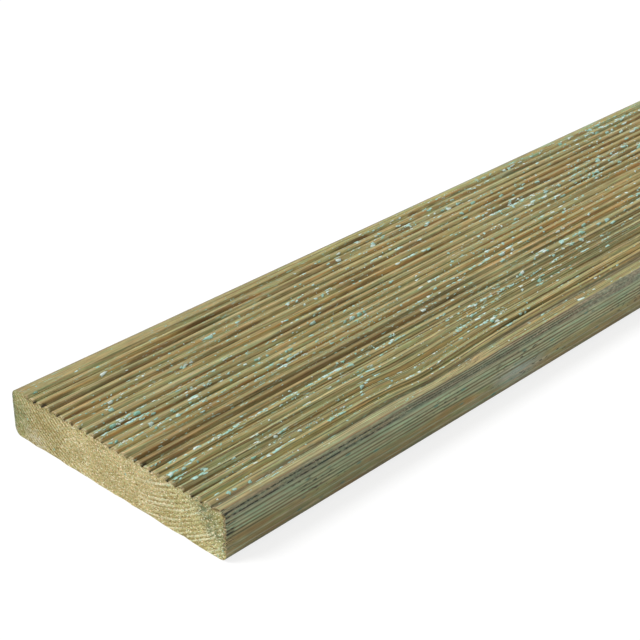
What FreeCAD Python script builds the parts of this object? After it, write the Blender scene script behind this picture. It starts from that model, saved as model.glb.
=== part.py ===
"""Softwood decking board: one sawn and moulded plank with a reeded walking face.

The plank lies flat with its reeded face up. X runs along the grain, Y across the
width and Z up. The origin is the middle of the underside. All sizes are millimetres.
"""

import FreeCAD, Part
import os
import Sketcher

# Points of a sketch element, and the sketch's own origin, as a sketch numbers them
START, END, CENTRE = 1, 2, 3
ORIGIN = (-1, 1)

# Lengths closer than this are the same
SAME_LENGTH = 0.001

doc = FreeCAD.newDocument("decking_board")

# Driving dimensions of the plank and of its reeded face
DIMENSIONS = (
    ("board_length", "1800"),  # sawn length along the grain
    ("board_width", "120"),  # finished width across the face
    ("board_thickness", "21"),  # finished thickness, underside to the crowns of the reeds
    ("arris_radius", "3.5"),  # rounding of the four long corners
    ("land_width", "6.5"),  # least plain strip along each edge, outside the grooves
    ("reed_pitch", "4.45"),  # spacing of the reeds across the face
    ("crown_width", "0.75"),  # flat left on top of each reed
    ("groove_depth", "1.4"),  # depth of each groove below the crowns
)
sheet = doc.addObject("Spreadsheet::Sheet", "sizes")
for row, (alias, size) in enumerate(DIMENSIONS, start=1):
    sheet.set(f"A{row}", alias)
    sheet.set(f"B{row}", size)
    sheet.setAlias(f"B{row}", alias)
doc.recompute()

# A groove is an ogee: a round bottom that runs tangent into two round shoulders of the
# same radius, and each shoulder ends level with the flat crown of a reed.
GROOVE_WIDTH = "(sizes.reed_pitch - sizes.crown_width)"
OGEE_RADIUS = f"({GROOVE_WIDTH}^2 / 4 + sizes.groove_depth^2) / (4 * sizes.groove_depth)"

# As many grooves as fit between the plain strips, centred on the face
GROOVE_COUNT = (
    f"(floor((sizes.board_width - 2 * sizes.land_width - {GROOVE_WIDTH}) / sizes.reed_pitch) + 1)"
)
OUTER_GROOVE = f"({GROOVE_COUNT} - 1) * sizes.reed_pitch / 2"


def origin_feature(body, role):
    """The plane or axis of the body's own origin that has this role."""
    return next(f for f in body.Origin.OriginFeatures if f.Role == role)


def section_sketch(body, name):
    """An empty sketch across the grain, with the board's Y as its x and Z as its y."""
    sketch = body.newObject("Sketcher::SketchObject", name)
    sketch.AttachmentSupport = [(origin_feature(body, "YZ_Plane"), "")]
    sketch.MapMode = "FlatFace"
    return sketch


def drive(sketch, name, formula, *constraint):
    """Adds a named dimension to the sketch and binds it to the sheet."""
    index = sketch.addConstraint(Sketcher.Constraint(*constraint))
    sketch.renameConstraint(index, name)
    sketch.setExpression(f"Constraints.{name}", formula)


def rough_plank(body):
    """The square-edged blank: a rectangle on the underside, padded to both ends."""
    half, top = float(sheet.board_width) / 2, float(sheet.board_thickness)
    corners = [FreeCAD.Vector(y, z, 0) for y, z in ((-half, 0), (half, 0), (half, top), (-half, top))]
    sketch = section_sketch(body, "plank_section")
    sides = [
        sketch.addGeometry(Part.LineSegment(corner, corners[(i + 1) % 4]))
        for i, corner in enumerate(corners)
    ]
    underside, edge, face, _ = sides
    for i, side in enumerate(sides):
        sketch.addConstraint(Sketcher.Constraint("Coincident", side, END, sides[(i + 1) % 4], START))
        direction = "Horizontal" if side in (underside, face) else "Vertical"
        sketch.addConstraint(Sketcher.Constraint(direction, side))
    sketch.addConstraint(Sketcher.Constraint("Symmetric", underside, START, underside, END, *ORIGIN))
    drive(sketch, "width", "sizes.board_width", "DistanceX", underside, START, underside, END, 2 * half)
    drive(sketch, "thickness", "sizes.board_thickness", "DistanceY", edge, START, edge, END, top)
    plank = body.newObject("PartDesign::Pad", "plank")
    plank.Profile = sketch
    plank.SideType = "Symmetric"
    plank.setExpression("Length", "sizes.board_length")
    doc.recompute()
    return plank


def round_arrises(body, plank):
    """Rounds the four corners that run along the grain."""
    length = float(sheet.board_length)
    along_grain = [
        f"Edge{number}"
        for number, edge in enumerate(plank.Shape.Edges, start=1)
        if abs(edge.BoundBox.XLength - length) < SAME_LENGTH
    ]
    arrises = body.newObject("PartDesign::Fillet", "arrises")
    arrises.Base = (plank, along_grain)
    arrises.setExpression("Radius", "sizes.arris_radius")
    doc.recompute()
    return arrises


def outer_groove(body):
    """The groove nearest the -Y edge, cut through from end to end."""
    top, depth = float(sheet.board_thickness), float(sheet.groove_depth)
    pitch, crown = float(sheet.reed_pitch), float(sheet.crown_width)
    half = (pitch - crown) / 2
    radius = (half**2 + depth**2) / (4 * depth)
    middle = -float(sheet.board_width) / 2 + float(sheet.land_width) + half

    def arc(y, z, *offsets):
        """An arc about (y, z) through three points at these offsets from its centre."""
        return Part.Arc(*(FreeCAD.Vector(y + dy, z + dz, 0) for dy, dz in offsets))

    # Where bottom and shoulder meet, half way across and half way down the flank
    lean_y, lean_z = half / 2, radius - depth / 2
    mid_y, mid_z = lean_y / 2, (radius**2 - lean_y**2 / 4) ** 0.5
    sketch = section_sketch(body, "groove_section")
    bottom = sketch.addGeometry(
        arc(middle, top - depth + radius, (-lean_y, -lean_z), (0, -radius), (lean_y, -lean_z))
    )
    left = sketch.addGeometry(
        arc(middle - half, top - radius, (lean_y, lean_z), (mid_y, mid_z), (0, radius))
    )
    right = sketch.addGeometry(
        arc(middle + half, top - radius, (0, radius), (-mid_y, mid_z), (-lean_y, lean_z))
    )
    mouth = sketch.addGeometry(
        Part.LineSegment(FreeCAD.Vector(middle - half, top, 0), FreeCAD.Vector(middle + half, top, 0))
    )
    # An arc runs anticlockwise from its start to its end
    sketch.addConstraint(Sketcher.Constraint("Tangent", bottom, START, left, START))
    sketch.addConstraint(Sketcher.Constraint("Tangent", bottom, END, right, END))
    sketch.addConstraint(Sketcher.Constraint("Coincident", left, END, mouth, START))
    sketch.addConstraint(Sketcher.Constraint("Coincident", right, START, mouth, END))
    sketch.addConstraint(Sketcher.Constraint("Vertical", left, CENTRE, left, END))
    sketch.addConstraint(Sketcher.Constraint("Vertical", right, CENTRE, right, START))
    sketch.addConstraint(Sketcher.Constraint("Equal", bottom, left))
    sketch.addConstraint(Sketcher.Constraint("Equal", bottom, right))
    sketch.addConstraint(Sketcher.Constraint("Horizontal", mouth))
    drive(sketch, "radius", OGEE_RADIUS, "Radius", bottom, radius)
    drive(sketch, "width", GROOVE_WIDTH, "DistanceX", mouth, START, mouth, END, 2 * half)
    drive(sketch, "level", "sizes.board_thickness", "DistanceY", *ORIGIN, mouth, START, top)
    drive(sketch, "place", OUTER_GROOVE, "DistanceX", bottom, CENTRE, *ORIGIN, -middle)
    groove = body.newObject("PartDesign::Pocket", "groove")
    groove.Profile = sketch
    groove.SideType = "Symmetric"
    groove.Type = "ThroughAll"
    doc.recompute()
    return groove


def reed_face(body, groove):
    """Repeats the groove across the face, which leaves a reed between each two."""
    reeds = body.newObject("PartDesign::LinearPattern", "reeds")
    reeds.Originals = [groove]
    reeds.Direction = (origin_feature(body, "Y_Axis"), [""])
    reeds.Mode = "Spacing"
    reeds.setExpression("Offset", "sizes.reed_pitch")
    reeds.setExpression("Occurrences", GROOVE_COUNT)
    body.Tip = reeds
    doc.recompute()
    return reeds


def decking_board():
    """The plank in the order it is machined: sawn, rounded, then grooved."""
    body = doc.addObject("PartDesign::Body", "decking_board")
    body.Label = "decking_board"
    round_arrises(body, rough_plank(body))
    reed_face(body, outer_groove(body))
    return body


board = decking_board()
doc.recompute()

failed = [o.Name for o in doc.Objects if "Invalid" in o.State or "Error" in o.State]
if failed:
    raise RuntimeError(f"these objects failed to build: {failed}")
if board.Shape.isNull() or not board.Shape.isValid() or len(board.Shape.Solids) != 1:
    raise RuntimeError("the board isn't one valid solid")

os.makedirs("parts", exist_ok=True)
board.Shape.exportStep(os.path.join("parts", f"{board.Label}.step"))
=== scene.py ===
import math

import bpy
import numpy as np
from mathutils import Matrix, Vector


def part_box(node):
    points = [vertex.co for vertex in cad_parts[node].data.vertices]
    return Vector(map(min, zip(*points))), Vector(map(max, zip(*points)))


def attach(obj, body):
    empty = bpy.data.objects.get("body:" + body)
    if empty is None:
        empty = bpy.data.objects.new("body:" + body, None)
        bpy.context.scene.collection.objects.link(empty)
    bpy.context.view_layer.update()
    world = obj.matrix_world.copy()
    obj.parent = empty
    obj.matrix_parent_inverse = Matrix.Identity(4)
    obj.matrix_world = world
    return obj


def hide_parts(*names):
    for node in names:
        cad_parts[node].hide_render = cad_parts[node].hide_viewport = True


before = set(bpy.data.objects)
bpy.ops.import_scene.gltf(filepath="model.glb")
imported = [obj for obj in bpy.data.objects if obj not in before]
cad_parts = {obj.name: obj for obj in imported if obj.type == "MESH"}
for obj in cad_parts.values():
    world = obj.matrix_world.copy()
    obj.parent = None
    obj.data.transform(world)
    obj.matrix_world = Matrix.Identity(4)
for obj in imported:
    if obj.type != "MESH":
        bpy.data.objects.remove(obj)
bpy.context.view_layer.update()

# The plank is one length of softwood, sawn from beside the heart of the log and planed on four
# sides. A row of round cutters leaves grooves along its face, with reeds between them and a plain
# strip by each edge. Both ends are cross-cut with a coarse saw and left furry.
MM = 0.001
low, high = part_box("decking_board")
LENGTH, WIDTH, THICKNESS = (high - low) / MM
HALF = WIDTH / 2
ARRIS_RADIUS = 3.5
FLAT = HALF - ARRIS_RADIUS
PITCH = 4.45
GROOVES = 24
GROOVE_DEPTH = 1.4
HALF_GROOVE = 1.85
GROOVE_NARROWNESS = 1.5
FIELD = GROOVES * PITCH / 2

# The board entered the cutters askew and then ran straight. The grooves' line and depth and the height
# of the crowns drift along it, some crowns are split, and the last groove stands out of line.
FEED_OFFSET = 1.9
FEED_SKEW = 3.1
FEED_LENGTH = 140
FEED_GIVE = 1
SWAY = 0.5
LAST_SHIFT = 0.5
DEPTH_CHANGE = 0.25
CROWN_DROP = 0.34
SPLIT_DEPTH = 0.2
SPLIT_FROM = (0.1, 0.7)
DEPTH_DRIFT, CROWN_DRIFT, SPLIT_DRIFT = 85, 60, 120
GROOVE_SWAY_DRIFT, CROWN_SWAY_DRIFT = 30, 40
RIDGE_LENGTH, RIDGE_WIDTH, RIDGE_HEIGHT = 14, 0.8, 0.05

# The saw leaves the +Y side clean and tears the edges of the face, the underside and most of all the
# -Y side. It leaves fuzz on the ends themselves.
RAGGED_CUT = 0.3
RAGGED_EDGE = 0.22
RAGGED_SIDE = 0.42
CLEAN_SHARE = 0.12
CLEAN_REACH = 6
SAW_FUZZ = 0.2
FUZZ_PATCH = 3

# The grain bends round a knot that lies just under the -Y edge, and the reeds nearby bend with it
KNOT_ALONG = 118
KNOT_REACH = (15, 34)
KNOT_PUSH = 2.2
KNOT_FADE_IN = (22, 42)
KNOT_FADE_OUT = (48, 62)

# The mesh: stations along the board, closest by the near end, and columns and rows round the section
STATIONS = 280
EVEN_SHARE = 0.4
CUT_STATIONS = np.array([0.35, 0.9, 1.8])
GROOVE_COLUMNS = 8
LAND_COLUMNS = 4
ARRIS_COLUMNS = 7
SIDE_ROWS = 24
UNDERSIDE_COLUMNS = 24
SHARP_ANGLE = math.radians(50)


def ease(t):
    """The curve 3t^2 - 2t^3 from 0 to 1, held at its ends."""
    t = np.clip(t, 0, 1)
    return t * t * (3 - 2 * t)


def between(value, start, end):
    """How far the value has gone from start to end, eased from 0 to 1."""
    return ease((value - start) / (end - start))


def scatter(a, b, seed):
    """A number from -1 to 1 for each pair, from the fraction of a large sine."""
    wave = np.sin(a * 127.1 + b * 311.7 + seed * 74.7) * 43758.5453
    return 2 * (wave - np.floor(wave)) - 1


def drift(u, v, seed):
    """Smooth noise from -1 to 1: scattered numbers at whole u and v, eased between the nearest four."""
    u, v = np.broadcast_arrays(u, v)
    left, below = np.floor(u), np.floor(v)
    s, t = ease(u - left), ease(v - below)
    near = scatter(left, below, seed) * (1 - s) + scatter(left + 1, below, seed) * s
    far = scatter(left, below + 1, seed) * (1 - s) + scatter(left + 1, below + 1, seed) * s
    return near * (1 - t) + far * t


def stations():
    """Distances from the near end: even steps plus a square law, so that they lie closest there."""
    t = np.linspace(0, 1, STATIONS)
    along = LENGTH * (EVEN_SHARE * t + (1 - EVEN_SHARE) * t**2)
    return np.unique(np.concatenate([along, CUT_STATIONS, LENGTH - CUT_STATIONS]))


def face_section():
    """The straight top line of the section from +Y to -Y: quarter round, strip, field, strip and
    quarter round."""
    turn = np.linspace(0, np.pi / 2, ARRIS_COLUMNS + 1)[:-1]
    strip = np.linspace(FLAT, FIELD, LAND_COLUMNS + 1)[:-1]
    field = np.linspace(FIELD, -FIELD, GROOVES * GROOVE_COLUMNS + 1)
    half_y = np.concatenate([FLAT + ARRIS_RADIUS * np.cos(turn), strip])
    rise = np.concatenate([ARRIS_RADIUS * np.sin(turn), np.full(LAND_COLUMNS, ARRIS_RADIUS)])
    half_z = THICKNESS - ARRIS_RADIUS + rise
    y = np.concatenate([half_y, field, -half_y[::-1]])
    z = np.concatenate([half_z, np.full(len(field), THICKNESS), half_z[::-1]])
    return y, z


def foot_section():
    """The underside of the section from -Y to +Y: quarter round, flat, quarter round."""
    turn = np.linspace(0, np.pi / 2, ARRIS_COLUMNS)
    round_y = FLAT + ARRIS_RADIUS * np.cos(turn)
    round_z = ARRIS_RADIUS - ARRIS_RADIUS * np.sin(turn)
    flat = np.linspace(-FLAT, FLAT, UNDERSIDE_COLUMNS + 1)[1:-1]
    y = np.concatenate([-round_y, flat, round_y[::-1]])
    z = np.concatenate([round_z, np.zeros(len(flat)), round_z[::-1]])
    return y, z


def knot_bend(x):
    """A bell along the grain, steeper before the knot than after it."""
    reach = np.where(x < KNOT_ALONG, *KNOT_REACH)
    return np.exp(-(((x - KNOT_ALONG) / reach) ** 2))


def knot_shift(x, girth):
    """How far the grain is pushed round the section at the knot: its bell, which fades in and out with
    the girth."""
    return KNOT_PUSH * knot_bend(x) * between(girth, *KNOT_FADE_IN) * (1 - between(girth, *KNOT_FADE_OUT))


def feed_line(x):
    """How far the cutters lie off their line across the board: a skew that dies away along it."""
    return FEED_OFFSET - FEED_SKEW * np.exp(-x / FEED_LENGTH)


def reeded_face(x, y, z):
    """Points of the face over the grid of x and of the straight section's y and z.

    A groove is a cosine trough, narrowed by a power. Its depth, the height of the crowns and the line of
    both drift along the board, a few crowns are split by a lesser trough, the last groove stands further
    out, and the field follows the cutters and the knot, while the strips beside it give way.
    """
    place = (FIELD - y) / PITCH
    groove = np.clip(np.floor(place), 0, GROOVES - 1)
    reed = np.round(place)
    off = np.abs(place - groove - 0.5) * PITCH / HALF_GROOVE
    hollow = (0.5 * (1 + np.cos(np.pi * np.minimum(off, 1)))) ** GROOVE_NARROWNESS
    inside = between(np.abs(y), FLAT, FIELD)
    follow = between(np.abs(y), FLAT, FIELD - FEED_GIVE)

    depth = GROOVE_DEPTH * (1 + DEPTH_CHANGE * drift(x / DEPTH_DRIFT, groove + 0.5, 2))
    drop = CROWN_DROP * (0.5 + 0.5 * drift(x / CROWN_DRIFT, reed + 0.5, 3))
    cleft = np.cos(4 * np.pi * (place - reed))
    split = SPLIT_DEPTH * between(drift(x / SPLIT_DRIFT, reed + 0.5, 8), *SPLIT_FROM) * cleft
    ridge = RIDGE_HEIGHT * drift(x / RIDGE_LENGTH, y / RIDGE_WIDTH, 4)
    height = z - depth * hollow - inside * ((drop + split) * (1 - hollow) - ridge)

    groove_sway = drift(x / GROOVE_SWAY_DRIFT, groove + 0.5, 5)
    crown_sway = drift(x / CROWN_SWAY_DRIFT, reed + 0.5, 6)
    sway = SWAY * (hollow * groove_sway + (1 - hollow) * crown_sway)
    aside = LAST_SHIFT * np.sin(np.pi * np.clip(place - GROOVES + 1, 0, 1))
    across = y + follow * (feed_line(x) - knot_shift(x, -y) + sway - aside)
    return np.stack(np.broadcast_arrays(x, across, height), axis=-1)


def lace(upper, lower, upper_key, lower_key):
    """Triangles that close the strip between two rows of corner numbers whose keys both rise."""
    upper_middle = (upper_key[:-1] + upper_key[1:]) / 2
    lower_middle = (lower_key[:-1] + lower_key[1:]) / 2
    below = lower[np.searchsorted(lower_middle, upper_middle)]
    above = upper[np.searchsorted(upper_middle, lower_middle)]
    hang = np.stack([upper[:-1], below, upper[1:]], axis=-1)
    stand = np.stack([above, lower[:-1], lower[1:]], axis=-1)
    return np.concatenate([hang, stand])


def grid_faces(corners):
    """Quads of a grid of corner numbers, turned from its rows towards its columns."""
    return np.stack(
        [corners[:-1, :-1], corners[:-1, 1:], corners[1:, 1:], corners[1:, :-1]], axis=-1
    ).reshape(-1, 4)


x_rows = stations()[:, None]
face_y, face_z = face_section()
foot_y, foot_z = foot_section()
side_z = np.linspace(THICKNESS - ARRIS_RADIUS, ARRIS_RADIUS, SIDE_ROWS)[1:-1]
section_y = np.concatenate([face_y, np.full(side_z.size, -HALF), foot_y, np.full(side_z.size, HALF)])
section_z = np.concatenate([face_z, side_z, foot_z, side_z[::-1]])

# Girth is the distance round the section from the middle of the face, growing towards -Y
steps = np.hypot(np.diff(section_y, append=section_y[0]), np.diff(section_z, append=section_z[0]))
PERIMETER = steps.sum()
column_girth = np.concatenate([[0], np.cumsum(steps)])
column_girth -= column_girth[: face_y.size].mean()

skin = np.stack(np.broadcast_arrays(x_rows, section_y, section_z), axis=-1).copy()
skin[:, : face_y.size] = reeded_face(x_rows, face_y[None, :], face_z[None, :])
ragged = np.where(np.arange(section_y.size) < face_y.size, RAGGED_CUT, RAGGED_EDGE)
ragged = np.where(section_y < -FLAT, RAGGED_SIDE, ragged)
ragged *= CLEAN_SHARE + (1 - CLEAN_SHARE) * between(section_y, FLAT, FLAT - CLEAN_REACH)
for cut_row in (0, -1):
    skin[cut_row, :, 0] += ragged * scatter(column_girth[:-1], 1.0, 9)


def plank_end(row, first_free):
    """The grid over one end, between the corners of the skin's first or last row.

    Returns its new points, its quads and the triangles that close it along the underside. The grid
    hangs from the reeded edge, each column straight down to the underside, with a saw's fuzz on it.
    """
    around = section_y.size
    numbers = (row % len(skin)) * around + np.arange(around)
    face_count, foot_count, side_count = face_y.size, foot_y.size, side_z.size
    top = numbers[:face_count]
    right = numbers[face_count : face_count + side_count]
    foot = numbers[face_count + side_count : face_count + side_count + foot_count][::-1]
    left = numbers[face_count + side_count + foot_count :][::-1]
    fall = np.linspace(0, 1, SIDE_ROWS)[1:-1, None]
    top_y, top_z = skin[row, 1 : face_count - 1, 1], skin[row, 1 : face_count - 1, 2]
    below = np.interp(-top_y, -foot_y[::-1], foot_z[::-1])
    inner_z = top_z * (1 - fall) + below * fall
    inner_y = np.broadcast_to(top_y, inner_z.shape)
    speckle = scatter(inner_y, inner_z, row)
    swell = drift(inner_y / FUZZ_PATCH, inner_z / FUZZ_PATCH, row)
    fuzz = SAW_FUZZ * (0.7 * speckle + 0.3 * swell)
    inner = np.stack([x_rows[row, 0] + fuzz, inner_y, inner_z], axis=-1)
    inner_numbers = first_free + np.arange(inner_z.size).reshape(inner_z.shape)
    lower_rows = np.concatenate([left[:, None], inner_numbers, right[:, None]], axis=1)
    grid = np.concatenate([top[None, :], lower_rows])
    closing = lace(grid[-1], foot, -skin[row, :face_count, 1], -foot_y[::-1])
    quads = grid_faces(grid)
    if row == 0:
        return inner.reshape(-1, 3), quads[:, ::-1], closing
    return inner.reshape(-1, 3), quads, closing[:, ::-1]


def make_piece(name, points, face_groups, materials, attributes, bake_map):
    """A smooth mesh object at the origin, from points in millimetres measured from the near end.

    Each group of faces takes the material of its place in the list. Attributes are one row a point,
    and the map for baking is one row a face corner.
    """
    mesh = bpy.data.meshes.new(name)
    faces = [face for group, _ in face_groups for face in group.tolist()]
    placed = (points + np.array([-LENGTH / 2, 0, 0])) * MM
    mesh.from_pydata(placed.tolist(), [], faces)
    for material in materials:
        mesh.materials.append(material)
    slots = np.concatenate([np.full(len(group), slot) for group, slot in face_groups])
    mesh.polygons.foreach_set("material_index", slots.astype(np.int32))
    for label, values in attributes.items():
        kind, key = ("FLOAT_VECTOR", "vector") if values.ndim == 2 else ("FLOAT", "value")
        layer = mesh.attributes.new(label, kind, "POINT")
        layer.data.foreach_set(key, values.astype(np.float32).ravel())
    mesh.uv_layers.new(name="OFBake").data.foreach_set("uv", bake_map.astype(np.float32).ravel())
    mesh.shade_smooth()
    mesh.set_sharp_from_angle(angle=SHARP_ANGLE)
    piece = bpy.data.objects.new(name, mesh)
    bpy.context.scene.collection.objects.link(piece)
    return piece


class Finish:
    """A node material under way. Most methods add a node or a few and give back the output."""

    def __init__(self, name):
        self.material = bpy.data.materials.new(name)
        self.material.use_nodes = True
        self.tree = self.material.node_tree
        self.shader = self.tree.nodes["Principled BSDF"]

    def feed(self, socket, value):
        """Links an output to the socket, or sets a plain number or colour on it."""
        if isinstance(value, bpy.types.NodeSocket):
            self.tree.links.new(value, socket)
        else:
            socket.default_value = value

    def add(self, kind, sockets=(), output=0, **settings):
        """A node of this kind with its sockets fed. Gives back the output of this number or name."""
        node = self.tree.nodes.new(kind)
        for key, value in settings.items():
            setattr(node, key, value)
        for socket, value in dict(sockets).items():
            self.feed(node.inputs[socket], value)
        return node.outputs[output]

    def attribute(self, label, output="Fac"):
        return self.add("ShaderNodeAttribute", output=output, attribute_name=label)

    def part(self, vector, axis):
        return self.add("ShaderNodeSeparateXYZ", {0: vector}, output=axis)

    def math(self, operation, first, second=0.0):
        return self.add("ShaderNodeMath", {0: first, 1: second}, operation=operation)

    def times(self, *factors):
        """The product of all the factors."""
        product = factors[0]
        for factor in factors[1:]:
            product = self.math("MULTIPLY", product, factor)
        return product

    def plus(self, first, second):
        return self.math("ADD", first, second)

    def either(self, first, second):
        """The greater of the two."""
        return self.math("MAXIMUM", first, second)

    def step(self, value, start, end, low=0.0, high=1.0):
        """An eased step from low to high while the value goes from start to end."""
        sockets = {"Value": value, "From Min": start, "From Max": end, "To Min": low, "To Max": high}
        return self.add("ShaderNodeMapRange", sockets, interpolation_type="SMOOTHSTEP", clamp=True)

    def line(self, value, middle, half_width, strength=1.0):
        """A soft line: full where the value is in the middle, none from the half width outwards."""
        off = self.math("ABSOLUTE", self.plus(value, -middle))
        return self.step(off, half_width, 0.0, 0.0, strength)

    def in_cells(self, place, cell, seed):
        """The place counted in cells of this size, moved by the seed to another part of the pattern."""
        sizes, offset = [1 / size for size in cell], (seed * 7.1, seed * 3.7, seed * 5.3)
        return self.add("ShaderNodeVectorMath", {0: place, 1: sizes, 2: offset}, operation="MULTIPLY_ADD")

    def noise(self, place, cell, detail=2.0, seed=0.0):
        """Noise from 0 to 1 whose cells have this size along each direction, in millimetres."""
        sockets = {"Vector": self.in_cells(place, cell, seed), "Scale": 1.0, "Detail": detail}
        return self.add("ShaderNodeTexNoise", sockets)

    def patches(self, place, cell, start, end, low=0.0, high=1.0, **kind):
        """Noise of this cell and kind, cut to patches by an eased step."""
        return self.step(self.noise(place, cell, **kind), start, end, low, high)

    def waver(self, place, cell, reach, **kind):
        """Noise about 0, over this whole reach."""
        return self.times(self.plus(self.noise(place, cell, **kind), -0.5), reach)

    def spots(self, place, cell, seed=0.0):
        """Distance from the nearest of a scatter of points, one to a cell of this size."""
        sockets = {"Vector": self.in_cells(place, cell, seed), "Scale": 1.0}
        return self.add("ShaderNodeTexVoronoi", sockets, output="Distance")

    def chance(self, number, seed=0.0):
        """A fixed random number from 0 to 1 for each whole number."""
        return self.add("ShaderNodeTexWhiteNoise", {"W": self.plus(number, seed)}, noise_dimensions="1D")

    def ramp(self, value, start, end, stops):
        """A colour that goes through these stops, each a place between start and end and a colour."""
        node = self.tree.nodes.new("ShaderNodeValToRGB")
        marks = node.color_ramp.elements
        marks.remove(marks[1])
        for number, (place, colour) in enumerate(stops):
            position = (place - start) / (end - start)
            mark = marks[0] if number == 0 else marks.new(position)
            mark.position = position
            mark.color = colour
        share = self.math("DIVIDE", self.plus(value, -start), end - start)
        self.feed(node.inputs["Fac"], share)
        return node.outputs["Color"]

    def blend(self, amount, under, over, mode="MIX"):
        """The colour under, covered by the colour over in this amount."""
        sockets = {0: amount, 6: under, 7: over}
        return self.add("ShaderNodeMix", sockets, output=2, data_type="RGBA", blend_type=mode)

    def shade(self, colour, amount):
        """The colour made lighter or darker by a factor."""
        return self.add("ShaderNodeVectorMath", {0: colour, "Scale": amount}, operation="SCALE")

    def tint(self, colour, amount):
        """The colour turned from reddish to greenish while the amount goes from 0 to 1."""
        hue = self.blend(amount, (1.12, 0.97, 0.97, 1), (0.88, 1.03, 1.03, 1))
        return self.blend(1.0, colour, hue, "MULTIPLY")

    def bump(self, height, distance):
        """A normal tilted by the slope of the height, which stands this far out at 1."""
        sockets = {"Height": height, "Distance": distance, "Strength": 1.0}
        return self.add("ShaderNodeBump", sockets)

    def dress(self, colour, roughness, normal, gloss):
        """Feeds the shader. Gloss is the same all over, so it is set on the shader itself."""
        self.feed(self.shader.inputs["Base Color"], colour)
        self.feed(self.shader.inputs["Roughness"], roughness)
        self.feed(self.shader.inputs["Normal"], normal)
        self.shader.inputs["Specular IOR Level"].default_value = gloss
        return self.material


def paint(red, green, blue):
    """A colour written as 0 to 255 screen values, as the linear colour that a shader takes."""
    channels = []
    for value in (red, green, blue):
        part = value / 255
        channels.append(part / 12.92 if part <= 0.04045 else ((part + 0.055) / 1.055) ** 2.4)
    return (*channels, 1.0)


# The year rings curve round a heart that lies above the board, a little off its middle
HEART_ACROSS = -6
HEART_HEIGHT = 70
RING_RATE = 0.0041
RING_WARP = 2.5


def from_heart(finish, grain):
    """The distance from the heart, round it and along the board, as one vector."""
    across = finish.plus(finish.part(grain, "Y"), -HEART_ACROSS)
    below = finish.math("SUBTRACT", HEART_HEIGHT, finish.part(grain, "Z"))
    reach = finish.add("ShaderNodeCombineXYZ", {"X": across, "Y": below})
    radius = finish.add("ShaderNodeVectorMath", {0: reach}, output="Value", operation="LENGTH")
    round_way = finish.times(finish.math("ARCTAN2", across, below), HEART_HEIGHT)
    return finish.add("ShaderNodeCombineXYZ", {"X": radius, "Y": round_way, "Z": finish.part(grain, "X")})


def ring_field(finish, grain):
    """Late wood from 0 to 1: the square of the distance from the heart counts the rings, which get closer
    outwards, and each ring darkens slowly and ends sharply."""
    warp = finish.noise(grain, (230, 24, 24), detail=3)
    radius = finish.part(from_heart(finish, grain), "X")
    radius = finish.plus(radius, finish.times(finish.plus(warp, -0.5), RING_WARP))
    year = finish.math("FRACT", finish.times(radius, radius, RING_RATE))
    return finish.times(finish.step(year, 0.15, 0.7), finish.step(year, 0.85, 1.0, 1.0, 0.0))


def from_cut(finish, grain):
    """Distance from the nearer sawn end."""
    along = finish.part(grain, "X")
    return finish.math("MINIMUM", along, finish.math("SUBTRACT", LENGTH, along))


# A dark band runs along the face from the near end
BAND_ACROSS = -13


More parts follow.
